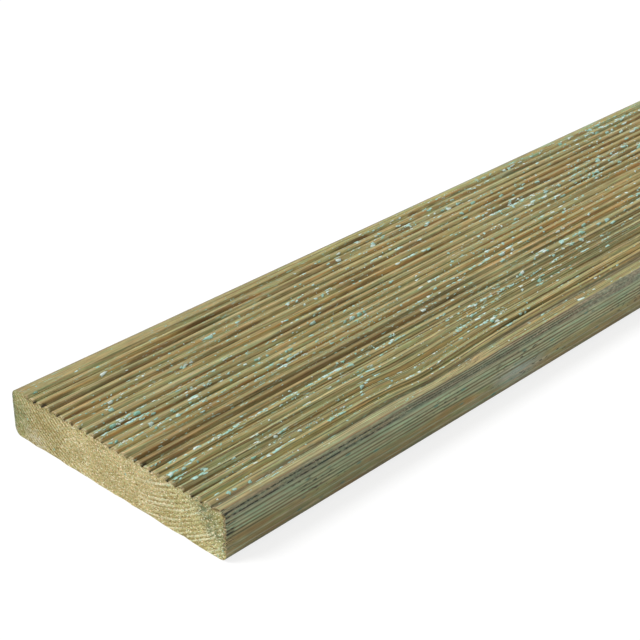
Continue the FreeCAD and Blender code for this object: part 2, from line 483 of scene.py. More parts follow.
def reeded_colour(finish, grain, reed, fibre):
    """The face: straw and tan wood lined with grey-green, orange below the crests that is partly painted
    bounce light, lightened flanks facing -Y that are painted light, a painted highlight along the crowns,
    thin dark lines, brown flames, grime and painted shade in the grooves, with a pale burr on the crowns
    and grime and painted shadow in the mouths of some grooves by each end."""
    along, across = finish.part(grain, "X"), finish.part(grain, "Y")
    phase = finish.math("FRACT", reed)
    crest = finish.times(finish.math("ABSOLUTE", finish.plus(phase, -0.5)), 2.0)
    hollow = finish.math("SUBTRACT", 1.0, crest)
    lined = finish.step(across, -12, -24)
    tone = finish.noise(grain, (150, 5, 5), seed=1)
    colour = finish.blend(finish.step(tone, 0.35, 0.65), paint(182, 175, 124), paint(173, 157, 101))
    colour = finish.blend(finish.times(ring_field(finish, grain), 0.3), colour, paint(164, 141, 84))
    algae = finish.noise(grain, (170, 10, 10), seed=4)
    amid = finish.line(across, 2, 30)
    algae_share = finish.times(finish.step(algae, 0.45, 0.7, 0.0, 0.5), finish.step(amid, 0, 1, 1.0, 0.5))
    colour = finish.blend(algae_share, colour, paint(152, 160, 116))
    moss = finish.noise(grain, (190, 1.5, 1.5), seed=21)
    moss_share = finish.times(finish.step(moss, 0.48, 0.6), finish.step(lined, 0, 1, 0.3, 0.65))
    colour = finish.blend(moss_share, colour, paint(134, 141, 102))
    crown, groove = finish.math("ROUND", reed), finish.math("FLOOR", reed)
    from_crown = finish.math("SUBTRACT", reed, crown)
    # A painted highlight along the crowns, in part pale worn wood
    bleach_and_highlight = finish.patches(grain, (40, 1.6, 1.6), 0.42, 0.62, 0.1, 0.55, seed=22)
    bleach_and_highlight = finish.times(finish.line(from_crown, 0.05, 0.2), bleach_and_highlight)
    colour = finish.blend(bleach_and_highlight, colour, paint(206, 192, 150))

    orange = finish.noise(grain, (120, 1.7, 1.7), seed=2)
    flank = finish.times(
        finish.step(phase, 0.04, 0.2, 0.15, 1.0),
        finish.step(phase, 0.75, 0.5, 0.3, 1.0),
    )
    # Painted light: the flanks that face -Y, turned away from the lamp, are lightened, except in the
    # lined part towards -Y
    painted_flank_light = finish.times(
        finish.step(phase, 0.1, 0.28),
        finish.step(phase, 0.58, 0.42),
        finish.step(lined, 1, 0),
    )
    colour = finish.shade(colour, finish.step(painted_flank_light, 0, 1, 1.0, 1.16))
    rusty = finish.plus(finish.step(lined, 0, 1, 1.0, 0.45), finish.times(amid, 0.35))
    # Orange on the flanks that face -Y: the wood's own orange, and partly painted bounce light on that
    # dim side
    orange_and_bounce = finish.times(finish.step(orange, 0.47, 0.62, 0.0, 0.6), flank, rusty)
    colour = finish.blend(orange_and_bounce, colour, paint(168, 122, 58))
    thin = finish.noise(grain, (240, 0.8, 0.8), detail=1, seed=3)
    thin_share = finish.times(finish.step(thin, 0.54, 0.6), finish.step(lined, 0, 1, 0.4, 0.85))
    colour = finish.blend(thin_share, colour, paint(98, 84, 46))
    wander = finish.waver(grain, (110, 30, 30), 0.3, detail=1, seed=23)
    wander = finish.plus(wander, finish.step(finish.chance(crown, 9.5), 0, 1, -0.42, -0.06))
    second = finish.times(
        finish.line(finish.plus(from_crown, wander), 0.0, 0.1),
        finish.step(finish.chance(crown, 7.5), 0.15, 0.4),
        finish.step(lined, 0, 1, 0.3, 0.7),
    )
    colour = finish.blend(second, colour, paint(80, 70, 42))
    colour = finish.shade(colour, finish.step(lined, 0, 1, 1.0, 1.07))

    # A flame fills one flank from the groove up to a height that drifts along it, and so ends in points
    cut = from_cut(finish, grain)
    stretched = finish.plus(along, finish.times(finish.either(finish.plus(along, -110), 0.0), 0.8))
    lick = finish.add("ShaderNodeCombineXYZ", {"X": stretched, "Y": finish.times(groove, 50.0)})
    flame = finish.noise(lick, (44, 1, 1), detail=2, seed=5)
    from_flank = finish.math("ABSOLUTE", finish.plus(phase, -0.38))
    frayed = finish.waver(grain, (12, 0.5, 0.5), 0.1, seed=28)
    at_cut = finish.times(
        finish.step(cut, 26, 2),
        finish.step(finish.chance(groove, 5.5), 0.45, 0.85, 0.0, 0.2),
    )
    flame = finish.plus(finish.plus(flame, frayed), finish.plus(finish.times(from_flank, -0.5), at_cut))
    scorched = finish.noise(grain, (70, 18, 18), seed=6)
    scorched = finish.plus(scorched, finish.step(across, 2, 22, -0.13, 0.03))
    clear = finish.times(finish.step(across, 38, 48), finish.step(along, 80, 30))
    dusky = finish.times(finish.line(across, 31, 14), finish.line(along, 68, 52))
    uneven = finish.math("SUBTRACT", dusky, clear)
    scorched = finish.plus(scorched, finish.times(uneven, 0.12))
    brown = finish.times(finish.step(flame, 0.43, 0.53), finish.step(scorched, 0.38, 0.58, 0.0, 0.8))
    common = finish.either(finish.step(cut, 130, 80), finish.step(across, 12, 26))
    brown = finish.times(brown, finish.step(common, 0, 1, 0.5, 1.0))
    colour = finish.blend(brown, colour, paint(116, 90, 50))
    colour = finish.shade(colour, finish.step(uneven, -1, 1, 1.1, 0.9))
    band = finish.times(finish.line(across, BAND_ACROSS, 7.5, 0.72), finish.step(along, 215, 150))
    sunk = finish.times(band, finish.step(hollow, 0.1, 0.6, 0.72, 1.25))
    colour = finish.blend(sunk, colour, paint(106, 84, 44))
    # Grime and painted shade darken the grooves towards their floors, more in the dark band and away from
    # the ends
    spread = finish.patches(grain, (160, 14, 14), 0.35, 0.65, 2.8, 4.6, detail=1, seed=24)
    caked_dirt_and_shade = finish.patches(lick, (45, 1, 1), 0.35, 0.65, 0.4, 0.68, seed=29)
    more_dirt_and_shade = finish.plus(finish.times(band, 0.45), finish.step(cut, 120, 200, 0.0, 0.1))
    caked_dirt_and_shade = finish.plus(caked_dirt_and_shade, more_dirt_and_shade)
    groove_dirt_and_shade = finish.times(finish.math("POWER", hollow, spread), caked_dirt_and_shade)
    colour = finish.blend(groove_dirt_and_shade, colour, paint(68, 60, 26))
    mottle = finish.patches(grain, (3, 1.2, 1.2), 0.35, 0.65, seed=30)
    gutter = finish.times(
        finish.step(reed, GROOVES - 0.85, GROOVES - 0.6),
        finish.step(mottle, 0, 1, 0.5, 0.8),
    )
    colour = finish.blend(gutter, colour, paint(116, 108, 84))

    # By each end: grime and painted shadow in the mouths of some grooves, and the saw's pale torn burr on
    # the crowns
    mouth = finish.plus(finish.times(finish.math("POWER", finish.chance(groove, 3.5), 2.0), 2.4), 0.6)
    within = finish.step(finish.math("SUBTRACT", cut, mouth), 0.5, -0.9)
    low_down = finish.step(hollow, 0.45, 0.8)
    luck = finish.plus(finish.chance(groove, 0.5), finish.step(lined, 0, 1, 0.0, 0.3))
    mouth_dirt_and_shadow = finish.times(within, low_down, finish.step(luck, 0.2, 0.95, 0.1, 1.0))
    colour = finish.blend(mouth_dirt_and_shadow, colour, paint(50, 41, 23))
    torn = finish.times(
        finish.step(cut, 1.3, 0.4),
        finish.step(crest, 0.1, 0.5),
        finish.step(fibre, 0.3, 0.6),
    )
    return finish.blend(torn, colour, paint(204, 188, 146))


# Brown lines in the -Y strip, each with its place across and its half width
STRIP_LINES = ((-54.6, 0.3), (-55.7, 0.28))


def strip_colour(finish, grain):
    """The plain strips: honey on one side and grey-straw on the other, with thin brown lines."""
    along, across = finish.part(grain, "X"), finish.part(grain, "Y")
    thin = finish.noise(grain, (200, 0.6, 0.6), detail=1, seed=7)
    soft = finish.noise(grain, (90, 3, 3), seed=8)
    further = finish.step(along, 90, 190)
    honey = finish.blend(further, paint(169, 158, 110), paint(177, 171, 114))
    grey_straw = finish.blend(further, paint(179, 175, 131), paint(169, 164, 112))
    colour = finish.blend(finish.step(across, 20, -20), honey, grey_straw)
    colour = finish.blend(finish.step(soft, 0.45, 0.7, 0.0, 0.6), colour, paint(172, 143, 88))
    colour = finish.blend(finish.step(thin, 0.55, 0.65, 0.0, 0.7), colour, paint(118, 98, 62))
    wander = finish.waver(grain, (60, 20, 20), 1.2, detail=1, seed=25)
    place = finish.plus(across, wander)
    lines = finish.either(*(finish.line(place, middle, half) for middle, half in STRIP_LINES))
    colour = finish.blend(finish.times(lines, 0.8), colour, paint(116, 90, 58))
    shredded = finish.noise(grain, (4.5, 0.7, 0.7), detail=3, seed=35)
    patch = finish.times(finish.step(across, -51, -53.5), finish.line(along, 132, 26, 1.0))
    pale_shreds = finish.times(patch, finish.step(shredded, 0.45, 0.6))
    colour = finish.blend(pale_shreds, colour, paint(206, 182, 132))
    dark_shreds = finish.times(patch, finish.step(shredded, 0.42, 0.32))
    return finish.blend(dark_shreds, colour, paint(118, 92, 56))


# Weathered colours of an edge, from the plain strip down to the underside, by girth
EDGE_START, EDGE_END = 56.0, 82.0
EDGE_STOPS = (
    (56.9, paint(166, 156, 116)),
    (57.4, paint(146, 124, 88)),
    (57.8, paint(152, 146, 116)),
    (59.0, paint(146, 146, 118)),
    (60.5, paint(148, 152, 124)),
    (61.5, paint(160, 166, 136)),
    (62.4, paint(180, 190, 153)),
    (69.6, paint(181, 189, 148)),
    (70.6, paint(160, 151, 106)),
    (72.2, paint(158, 148, 103)),
    (79.0, paint(150, 145, 106)),
    (81.5, paint(160, 152, 110)),
)

# Lines along an edge, by girth. Each check also has its half width.
CORNER_LINES = (57.7, 58.6, 59.5, 60.4)
TORN_LINES = (59.25, 60.95)
CHECKS = ((66.3, 0.62), (67.5, 0.75))
BROWN_LINES = (63.05, 64.95, 66.5, 67.9, 69.4)
PALE_LINES = (73.0, 75.6)


def edge_colour(finish, grain, girth):
    """The planed edges: greyed and lined along the grain, torn and blackened along the rounded corner,
    spotted with dark mould and a little green, and paled by bleaching in patches."""
    along = finish.part(grain, "X")
    place = finish.plus(girth, finish.waver(grain, (34, 3, 3), 0.9, seed=9))
    colour = finish.ramp(place, EDGE_START, EDGE_END, EDGE_STOPS)
    pale = finish.noise(grain, (30, 9, 9), detail=3, seed=13)
    colour = finish.blend(finish.step(pale, 0.56, 0.74, 0.0, 0.4), colour, paint(170, 176, 156))

    tanned = finish.times(
        finish.patches(grain, (48, 5, 5), 0.5, 0.66, seed=33),
        finish.step(girth, 66, 71, 0.15, 0.6),
    )
    colour = finish.blend(tanned, colour, paint(156, 126, 76))
    beyond = finish.step(along, 182, 232)
    greyed = finish.times(beyond, finish.step(girth, 62.8, 60.8, 0.0, 0.6))
    colour = finish.blend(greyed, colour, paint(146, 145, 124))
    bleach_and_highlight = finish.times(finish.line(along, 163, 20, 0.75), finish.line(place, 71.5, 7.5))
    colour = finish.blend(bleach_and_highlight, colour, paint(178, 186, 174))

    upper = finish.times(finish.step(along, 130, 190), finish.line(girth, 57.9, 1.5))
    colour = finish.shade(colour, finish.step(upper, 0, 1, 1.0, 0.84))
    mottled = finish.patches(grain, (1.8, 0.7, 0.7), 0.35, 0.65, 0.72, 1.28, detail=3, seed=37)
    rounded = finish.times(finish.step(girth, 57, 58), finish.step(girth, 62.5, 61))
    rounded = finish.times(rounded, finish.step(beyond, 0, 1, 0.4, 1.0))
    colour = finish.blend(rounded, colour, finish.shade(colour, mottled))

    # Late wood stands as thin brown lines, and early wood as pale ones lower down
    faint = finish.patches(grain, (90, 2, 2), 0.3, 0.6, 0.6, 1.0, seed=26)
    for middle in BROWN_LINES:
        brown = finish.times(finish.line(place, middle, 0.72), faint)
        colour = finish.blend(brown, colour, paint(106, 94, 60))
    for middle in PALE_LINES:
        colour = finish.blend(finish.line(place, middle, 0.5, 0.8), colour, paint(182, 182, 150))

    # The torn corner: two black lines of lifted fibres near the end, and four thinner ones further on
    dash = finish.noise(grain, (2.4, 1.1, 1.1), detail=3, seed=10)
    worn = finish.noise(grain, (120, 40, 40), detail=1, seed=11)
    near = finish.step(along, 115, 70)
    blackened = finish.times(
        finish.either(*(finish.line(place, middle, 0.55) for middle in TORN_LINES)),
        finish.step(dash, 0.34, 0.5, 0.25, 1.0),
        finish.either(near, finish.step(worn, 0.5, 0.7, 0.1, 0.6)),
    )
    colour = finish.blend(blackened, colour, paint(38, 36, 28))
    lifted = finish.times(finish.step(near, 1.0, 0.0, 0.15, 0.9), finish.step(beyond, 0, 1, 1.0, 0.15))
    for middle in CORNER_LINES:
        dark = finish.times(finish.line(place, middle, 0.34), lifted)
        colour = finish.blend(dark, colour, paint(62, 56, 42))
    tick = finish.noise(grain, (0.9, 0.7, 0.7), detail=1, seed=12)
    torn = finish.times(finish.line(place, 60.0, 1.2), finish.step(tick, 0.52, 0.66, 0.0, 0.65))
    colour = finish.blend(torn, colour, paint(178, 176, 150))

    # Spots of mould and verdigris, two short checks and some nicks at the sawn end, a shaded lower corner
    blot = finish.noise(grain, (3.4, 1.0, 1.0), detail=1, seed=14)
    crowd = finish.noise(grain, (40, 7, 7), detail=1, seed=27)
    spread = finish.times(
        finish.step(crowd, 0.45, 0.62),
        finish.step(girth, 61.2, 62.2),
        finish.step(girth, 77, 73),
    )
    mould = finish.times(finish.step(blot, 0.61, 0.68), spread)
    colour = finish.blend(finish.times(mould, 0.85), colour, paint(58, 60, 50))
    green = finish.times(
        finish.step(finish.spots(grain, (11, 3.6, 3.6), seed=15), 0.2, 0.07),
        finish.step(girth, 62, 63),
    )
    colour = finish.blend(finish.times(green, 0.8), colour, paint(96, 136, 120))
    checks = finish.times(
        finish.either(*(finish.line(girth, middle, half) for middle, half in CHECKS)),
        finish.step(from_cut(finish, grain), 4.6, 3.0),
    )
    colour = finish.blend(checks, colour, paint(34, 32, 26))
    nick = finish.patches(grain, (4, 0.6, 0.6), 0.57, 0.63, detail=1, seed=34)
    by_cut = finish.step(from_cut(finish, grain), 6.5, 1.5)
    nicked = finish.times(nick, by_cut, finish.step(girth, 76, 70))
    colour = finish.blend(finish.times(nicked, 0.85), colour, paint(42, 40, 32))
    shadowed = finish.times(finish.step(girth, 76.2, 77.6), finish.step(girth, 80.5, 79.5, 0.0, 0.55))
    colour = finish.blend(shadowed, colour, paint(104, 98, 74))
    return finish.shade(colour, finish.step(along, 90, 150, 1.0, 1.14))


def planed_wood():
    """The planed and moulded faces, each with its own weathering, under one grain of fibres."""
    finish = Finish("treated_softwood_planed")
    grain = finish.attribute("grain", "Vector")
    reed, girth = finish.attribute("reed"), finish.attribute("girth")
    fibre = finish.noise(grain, (14, 0.42, 0.42), detail=3, seed=16)
    hair = finish.noise(grain, (4, 0.25, 0.25), detail=1, seed=17)

    colour = reeded_colour(finish, grain, reed, fibre)
    plain = finish.either(finish.step(reed, 0.14, 0.02), finish.step(reed, GROOVES, GROOVES + 0.1))
    colour = finish.blend(plain, colour, strip_colour(finish, grain))
    colour = finish.blend(finish.step(girth, 56.8, 57.1), colour, edge_colour(finish, grain, girth))
    underneath = finish.noise(grain, (130, 4, 4), seed=18)
    planed = finish.blend(finish.step(underneath, 0.35, 0.7), paint(168, 156, 112), paint(154, 132, 86))
    colour = finish.blend(finish.step(girth, 80.5, 82.5), colour, planed)

    film = finish.times(
        finish.patches(grain, (3.0, 0.6, 0.6), 0.6, 0.7, detail=2, seed=19),
        finish.patches(grain, (46, 8, 8), 0.4, 0.62, detail=1, seed=20),
        finish.step(girth, 59, 56),
    )
    colour = finish.blend(finish.times(film, 0.75), colour, paint(166, 204, 186))
    along, across = finish.part(grain, "X"), finish.part(grain, "Y")
    bloom = finish.times(
        finish.patches(grain, (26, 2.5, 2.5), 0.45, 0.62, 0.0, 0.6, seed=32),
        finish.step(across, 44, 54),
        finish.step(girth, 59, 57),
        finish.step(along, 230, 320),
        finish.step(along, 520, 430),
    )
    colour = finish.blend(bloom, colour, paint(150, 184, 148))
    hue = finish.patches(grain, (12, 0.8, 0.8), 0.32, 0.68, seed=36)
    greener = finish.times(finish.step(across, -24, -36, 0.0, 0.11), finish.step(along, 170, 110))
    ruddier = finish.times(finish.line(across, -16, 26, -0.1), finish.step(along, 110, 170))
    colour = finish.tint(colour, finish.plus(hue, finish.plus(greener, ruddier)))
    clouded = finish.patches(grain, (15, 2.2, 2.2), 0.3, 0.7, 0.9, 1.1, seed=31)
    lit = finish.times(
        finish.step(fibre, 0.25, 0.75, 0.78, 1.2),
        finish.step(hair, 0.25, 0.75, 0.86, 1.14),
        clouded,
    )
    relief = finish.plus(finish.times(hair, 0.5), fibre)
    return finish.dress(
        finish.shade(colour, lit),
        finish.step(fibre, 0.3, 0.7, 0.6, 0.8),
        finish.bump(relief, 0.22 * MM),
        0.3,
    )


def sawn_wood():
    """The cross-cut ends: pale straw, furred with bright torn fibres and small pits, with sharp close
    rings towards +Y and broad pale ones towards -Y, a green rim, grey-green mould by the corners and a
    rim that is chipped on the -Y side."""
    finish = Finish("treated_softwood_sawn")
    grain = finish.attribute("grain", "Vector")
    across, up = finish.part(grain, "Y"), finish.part(grain, "Z")
    polar = from_heart(finish, grain)
    pit = finish.noise(polar, (0.42, 0.9, 2), detail=2, seed=1)
    fleck = finish.noise(polar, (0.42, 0.9, 2), detail=2, seed=2)
    grit = finish.noise(grain, (1, 0.45, 0.45), detail=1, seed=3)
    patch = finish.noise(grain, (20, 9, 6), detail=3, seed=4)
    mould = finish.noise(polar, (1.1, 2.6, 9), detail=3, seed=5)
    arc = finish.noise(polar, (1.7, 24, 60), detail=2, seed=6)

    shaded = finish.step(patch, 0.38, 0.62, 0.0, 0.8)
    colour = finish.blend(shaded, paint(200, 186, 132), paint(174, 160, 106))
    ring = ring_field(finish, grain)
    broken = finish.patches(polar, (6, 5, 6), 0.35, 0.65, 0.45, 1.0, seed=7)
    broken = finish.either(broken, finish.step(across, 18, 32))
    sharp = finish.either(finish.step(across, 14, 32, 0.3, 0.85), finish.step(across, -10, -26, 0.3, 0.7))
    colour = finish.blend(finish.times(ring, sharp, broken), colour, paint(138, 120, 72))
    broad = finish.times(
        finish.step(arc, 0.45, 0.58),
        finish.step(ring, 0.7, 0.1),
        finish.step(across, -6, -24, 0.15, 0.75),
    )
    colour = finish.blend(broad, colour, paint(218, 212, 174))
    slanted = finish.plus(across, finish.times(up, -0.8))
    corner = finish.times(finish.line(slanted, -62.5, 10), finish.step(up, 4, 10))
    corner = finish.either(corner, finish.times(finish.line(across, 56, 9), finish.line(up, 10, 10)))
    mouldy = finish.times(corner, finish.step(mould, 0.4, 0.6, 0.3, 0.95))
    colour = finish.blend(mouldy, colour, paint(104, 111, 80))
    rim = finish.either(
        finish.step(across, 46, 59, 0.0, 0.5),
        finish.step(across, -50, -60, 0.0, 0.35),
    )
    colour = finish.blend(rim, colour, paint(136, 142, 90))
    colour = finish.blend(finish.step(across, 58.0, 59.6, 0.0, 0.6), colour, paint(98, 114, 92))
    colour = finish.blend(finish.step(pit, 0.43, 0.34, 0.0, 0.9), colour, paint(106, 84, 38))
    colour = finish.blend(finish.step(grit, 0.38, 0.3, 0.0, 0.8), colour, paint(112, 90, 44))
    furred = finish.times(
        finish.step(across, 36, 20, 0.5, 0.95),
        finish.step(across, -20, -38, 1.0, 0.75),
    )
    bright = finish.times(finish.step(fleck, 0.57, 0.65), furred)
    colour = finish.blend(bright, colour, paint(242, 232, 198))
    greenish = finish.either(
        finish.step(across, 10, 40, 0.0, 0.1),
        finish.step(across, -16, -44, 0.0, 0.22),
    )
    hue = finish.patches(grain, (2, 0.9, 0.9), 0.3, 0.7, seed=9)
    colour = finish.tint(colour, finish.plus(hue, greenish))
    colour = finish.shade(colour, finish.step(across, -16, -40, 1.0, 1.07))
    chalky = finish.times(
        finish.line(across, 47, 9),
        finish.step(up, 10, 3),
        finish.step(fleck, 0.42, 0.56),
    )
    colour = finish.blend(finish.times(chalky, 0.7), colour, paint(200, 194, 170))
    stain = finish.step(finish.spots(grain, (9, 6.5, 6.5), seed=8), 0.11, 0.06, 0.0, 0.7)
    colour = finish.blend(stain, colour, paint(150, 188, 166))
    chip = finish.patches(grain, (2, 1.2, 0.9), 0.46, 0.54, detail=2, seed=10)
    chipped = finish.times(chip, finish.step(across, -57.4, -59.2), finish.step(up, 2, 6))
    colour = finish.blend(finish.times(chipped, 0.85), colour, paint(66, 62, 46))
    relief = finish.plus(pit, finish.times(grit, 0.6))
    return finish.dress(colour, 0.85, finish.bump(relief, 0.5 * MM), 0.2)


# The sheet for baking has the skin in this many strips, with gaps of this many millimetres
BAKE_STRIPS = 3
BAKE_GAP = 4


def plank_map(end_faces, points):
    """Where each face corner lies on the sheet for baking: the skin unrolled and cut into strips, one
    above the other, with the two ends side by side above them. Laid out in millimetres, then scaled."""
    strips, gap = BAKE_STRIPS, BAKE_GAP
    strip_length = LENGTH / strips
    x = np.broadcast_to(x_rows, (len(x_rows), column_girth.size))
    girth = np.broadcast_to(column_girth - column_girth[0], x.shape)
    corners = np.arange(x.size).reshape(x.shape)
    quads = grid_faces(corners)
    strip = np.minimum(x.ravel()[quads[:, :1]] // strip_length, strips - 1)
    u = x.ravel()[quads] - strip * strip_length + gap
    v = girth.ravel()[quads] + strip * (PERIMETER + gap) + gap
    sheets = [np.stack([u, v], axis=-1).reshape(-1, 2)]
    for faces in end_faces:
        corner = points[faces]
        far = (corner[..., :1].mean(axis=1) > LENGTH / 2) * (WIDTH + gap)
        u = corner[..., 1] + HALF + gap + far
        v = corner[..., 2] + strips * (PERIMETER + gap) + gap
        sheets.append(np.stack([u, v], axis=-1).reshape(-1, 2))
    size = np.array([strip_length + 5 * gap, strips * (PERIMETER + gap) + THICKNESS + 3 * gap])
    return np.concatenate(sheets) / size


def build_plank():
    """The plank from its skin and its two ends, with the place of each point in the grain, on the reeds
    and round the section."""
    near_points, near_quads, near_closing = plank_end(0, skin.shape[0] * skin.shape[1])
    far_points, far_quads, far_closing = plank_end(-1, skin.shape[0] * skin.shape[1] + len(near_points))
    points = np.concatenate([skin.reshape(-1, 3), near_points, far_points])
    numbers = np.arange(skin.shape[0] * skin.shape[1]).reshape(skin.shape[:2])
    long_quads = grid_faces(np.concatenate([numbers, numbers[:, :1]], axis=1))
    end_quads = np.concatenate([near_quads, far_quads])
    end_triangles = np.concatenate([near_closing, far_closing])

    shift = knot_shift(x_rows, column_girth[:-1])
    upright = np.abs(section_y) > FLAT
    grain = skin.copy()
    grain[..., 0] = x_rows
    grain[..., 1] += shift * ~upright
    grain[..., 2] += shift * upright
    ends = np.concatenate([near_points, far_points])
    grain = np.concatenate([grain.reshape(-1, 3), ends])
    girth = np.minimum(np.abs(column_girth[:-1]), PERIMETER - np.abs(column_girth[:-1])) - shift
    girth = np.concatenate([girth.ravel(), np.zeros(len(ends))])
    reed = np.clip((FIELD - section_y) / PITCH, 0, GROOVES + 0.2)
    reed = np.concatenate([np.tile(reed, len(skin)), np.zeros(len(ends))])
    return make_piece(
        "plank",
        points,
        ((long_quads, 0), (end_quads, 1), (end_triangles, 1)),
        (planed_wood(), sawn_wood()),
        {"grain": grain, "reed": reed, "girth": girth},
        plank_map((end_quads, end_triangles), points),
    )


plank = build_plank()
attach(plank, "root")
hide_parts("decking_board")

# Dried preservative stands on the wood as specks and crusts of pale blue-green salt. It wept out of
# the grain after treatment and dried where it ran, mostly along the crowns of the reeds.
SALT_SPOTS = 15000
SALT_PLAIN = (430, 520)
SALT_BAND = (BAND_ACROSS, 6, 170)
SALT_PATCHES = (
    # along, across, spread along, spread across, number, size
    (14, 10, 6, 1.3, 26, 1.35),
    (4, 2, 3, 4, 10, 1.0),
    (20, 18, 16, 8, 36, 0.9),
    (32, 5, 20, 6, 40, 1.0),
    (64, 10, 22, 7, 40, 1.0),
    (65, 7, 8, 1.0, 12, 1.3),
    (76, -4, 11, 0.2, 20, 1.0),
    (86, -20.8, 14, 0.4, 34, 1.4),
    (50, -22, 8, 0.9, 14, 1.3),
    (21, -22.2, 8, 0.8, 18, 1.3),
    (8, -29, 5, 1.6, 14, 1.2),
    (62, -25, 24, 4, 22, 0.9),
    (95, -34.4, 6, 0.7, 8, 1.1),
    (68, -43.2, 14, 0.8, 14, 1.1),
    (37, -43.5, 6, 0.7, 8, 1.2),
    (40, -52.5, 16, 0.7, 12, 1.1),
    (112, -47, 12, 4, 14, 1.0),
    (140, 0, 30, 8, 34, 0.9),
    (196, 48, 28, 5, 36, 1.0),
    (258, 24, 16, 1.2, 30, 1.3),
    (262, 34, 26, 9, 34, 1.1),
    (300, 21, 22, 2.4, 40, 1.2),
    (345, 24, 22, 10, 60, 1.1),
    (290, 2, 34, 10, 40, 1.0),
    (194, -26.4, 22, 0.6, 20, 1.1),
    (205, -12, 34, 8, 30, 1.0),
    (160, -36, 36, 8, 30, 1.0),
    (240, -40, 40, 9, 36, 0.9),
    (330, 54.5, 40, 1.2, 24, 1.0),
    (370, 48, 24, 5, 40, 1.1),
)
SALT_SEED = 11
CRUST_RINGS = ((0.62, 0.86), (1.0, -0.15))
CRUST_CORNERS = 6
SPECK_RINGS = ((1.0, -0.15),)
SPECK_CORNERS = 5
SPECK_SPOTS = 26000
SPECK_SIZE = (0.32, 0.9)
SALT_CLUSTER = (55, 11)
SALT_NEAR = (110, 180)
SALT_STRIP = (30, 42)
LUMP_SPREAD = 0.42
LUMP_SIZE = (0.35, 2.4)
LUMP_WIDTH = (0.32, 1.4)
LUMP_RISE = (0.06, 0.2)
MOST_LUMPS = 4
CROWN_PULL = 0.35
TWO_LOBES, THREE_LOBES = 0.26, 0.2
LOBE_REACH = 0.75
CUT_MARGIN = 0.2
FACE_MARGIN = 3


def on_skin(along, girth):
    """Points and outward directions on the skin, between the rows and columns of its grid."""
    closed = np.concatenate([skin, skin[:, :1]], axis=1)
    row = np.interp(along, x_rows[:, 0], np.arange(len(x_rows)))
    column = np.interp(girth, column_girth, np.arange(column_girth.size))
    i = np.clip(row.astype(int), 0, closed.shape[0] - 2)
    j = np.clip(column.astype(int), 0, closed.shape[1] - 2)
    s, t = (row - i)[..., None], (column - j)[..., None]
    corner, ahead = closed[i, j], closed[i + 1, j]
    beside, beyond = closed[i, j + 1], closed[i + 1, j + 1]
    spot = (corner * (1 - s) + ahead * s) * (1 - t) + (beside * (1 - s) + beyond * s) * t
    outward = np.cross(beside - corner, ahead - corner)
    return spot, outward / np.linalg.norm(outward, axis=-1, keepdims=True)


def to_crown(across, pull):
    """The place across the face, drawn towards the crown of the nearest reed by this share."""
    crown = FIELD - np.round((FIELD - across) / PITCH) * PITCH
    return np.where(np.abs(across) < FIELD, across + (crown - across) * pull, across)


def salt_spots(random, number):
    """Where spots lie on the straight face: an even scatter, thinned by smooth noise, by the +Y strip and
    the dark band near the near end, and all over the plainer rest of the board."""
    along = random.uniform(1, LENGTH - 1, number)
    across = random.uniform(-FLAT, FLAT, number)
    cluster_length, cluster_width = SALT_CLUSTER
    cluster = 0.5 + 0.5 * drift(along / cluster_length, across / cluster_width, 21)
    chance = 0.12 + 0.75 * cluster**1.6
    near = 1 - between(along, *SALT_NEAR)
    chance *= 1 - 0.55 * near * between(across, *SALT_STRIP) - 0.25 * near
    middle, breadth, reach = SALT_BAND
    bare = np.exp(-(((across - middle) / breadth) ** 4)) * (1 - between(along, reach - 40, reach))
    chance *= (1 - 0.95 * bare) * (1 - 0.65 * between(along, *SALT_PLAIN))
    kept = random.uniform(0, 1, number) < chance
    return along[kept], across[kept]


def crust_places(random):
    """Middle, length and width of each lump of crust: spots and patches, each a short row of lumps."""
    along, across = salt_spots(random, SALT_SPOTS)
    size = random.lognormal(0.05, LUMP_SPREAD, along.size) * (1 + 0.3 * between(along, 120, 200))
    for middle, place, reach, breadth, number, scale in SALT_PATCHES:
        x = 1 + np.abs(random.normal(middle, reach, number) - 1)
        along = np.append(along, x)
        across = np.append(across, random.normal(place, breadth, number) - feed_line(x))
        size = np.append(size, scale * random.lognormal(-0.05, LUMP_SPREAD, number))
    size *= 1 - 0.4 * between(np.abs(across), FIELD - 1, FIELD + 1)
    across = to_crown(across, CROWN_PULL)
    lumps = np.minimum(random.geometric(0.6, along.size), MOST_LUMPS)
    spot = np.repeat(np.arange(along.size), lumps)
    size = np.clip(size[spot] * random.uniform(0.55, 1.15, spot.size), *LUMP_SIZE)
    length = size * random.uniform(1.2, 2.4, spot.size)
    width = np.clip(size * random.uniform(0.45, 0.8, spot.size), *LUMP_WIDTH)
    along = along[spot] + random.normal(0, 1.1, spot.size) * length
    across = across[spot] + random.normal(0, 0.25, spot.size) * width
    return np.clip(along, length, LENGTH - length), across, length, width


def bake_squares(count, middle, sheets):
    """The map for baking many like shapes: the sheets of one, repeated in a square of its own for each,
    about a middle that is measured from the square's corner."""
    side = math.ceil(math.sqrt(count))
    number = np.arange(count)
    cell = np.stack([number % side, number // side], axis=-1)[:, None, :] + middle
    return np.concatenate([(sheet + cell).reshape(-1, 2) for sheet in sheets]) / side


def close_rings(ring):
    """Rows of corner numbers with the first of each row repeated at its end."""
    return np.concatenate([ring, ring[:, :1]], axis=1)


